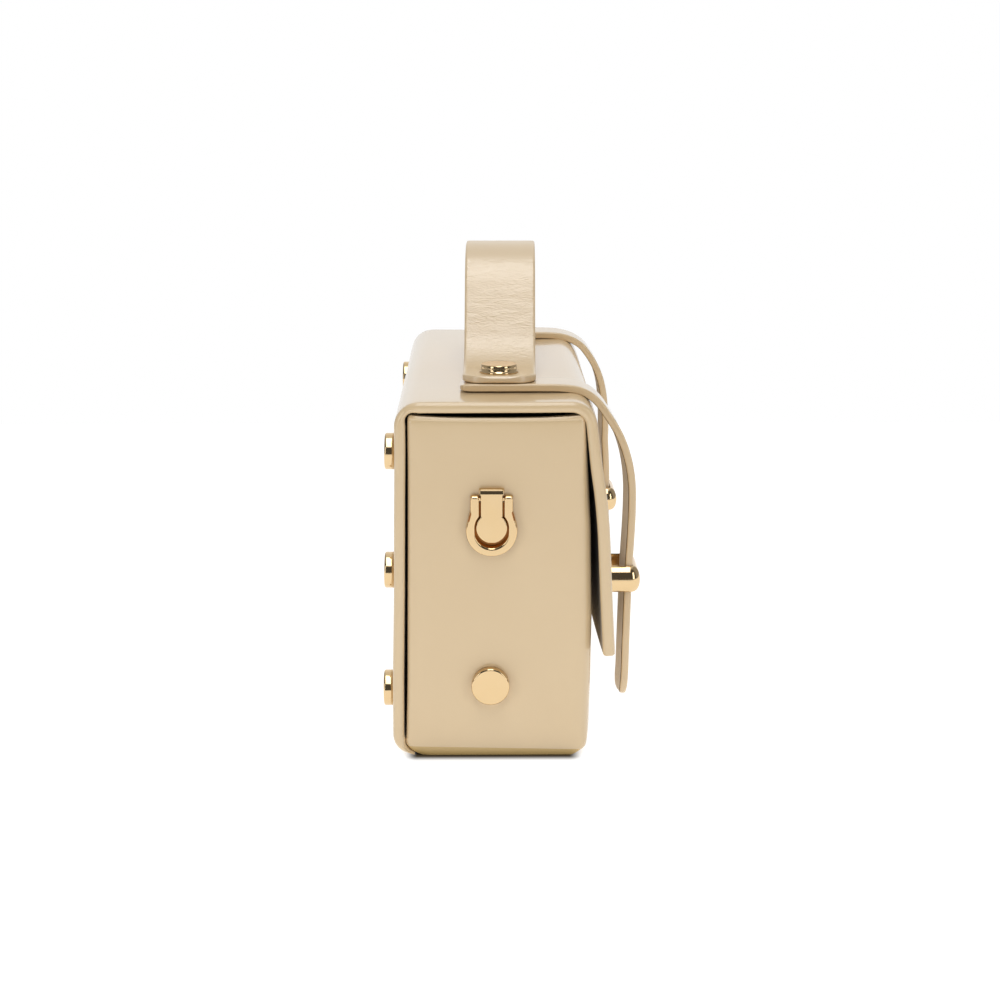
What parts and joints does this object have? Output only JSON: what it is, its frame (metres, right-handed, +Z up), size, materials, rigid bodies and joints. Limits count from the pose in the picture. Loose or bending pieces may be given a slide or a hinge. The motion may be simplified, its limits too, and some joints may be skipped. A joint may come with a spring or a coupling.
{
  "type": "box bag",
  "caption": "Small structured leather box bag with a front flap, an arched strap handle, closure belts in metal keepers, flat studs and folding strap rings.",
  "frame": {"origin": "middle of the flat base, on the surface the bag stands on", "axes": "+X along the bag's length to its right end, -Y to the front flap, +Z up to the handle"},
  "size_m": [0.2064, 0.104, 0.197],
  "materials": {
    "leather": "smooth semi-gloss beige leather",
    "gold": "polished pale gold plating"
  },
  "bodies": {
    "bag": {"wrap": "leather", "tray": "leather", "handle": "leather", "belt_left": "leather", "belt_right": "leather", "keeper_left": "gold", "keeper_right": "gold", "handle_rivet_left": "gold", "handle_rivet_right": "gold", "back_stud_left_1": "gold", "back_stud_left_2": "gold", "back_stud_left_3": "gold", "back_stud_right_1": "gold", "back_stud_right_2": "gold", "back_stud_right_3": "gold", "end_stud_left": "gold", "end_stud_right": "gold", "tongue_left": "gold", "tongue_right": "gold"},
    "ring_left": {"ring_left": "gold"},
    "ring_right": {"ring_right": "gold"}
  },
  "joints": [
    {"name": "ring_left_hinge", "type": "hinge", "parent": "bag", "child": "ring_left", "pos_m": [-0.1013, 0.0018, 0.1064], "axis": [0, 1, 0], "range_deg": [0, 150]},
    {"name": "ring_right_hinge", "type": "hinge", "parent": "bag", "child": "ring_right", "pos_m": [0.1013, 0.0018, 0.1064], "axis": [0, -1, 0], "range_deg": [0, 150]}
  ]
}
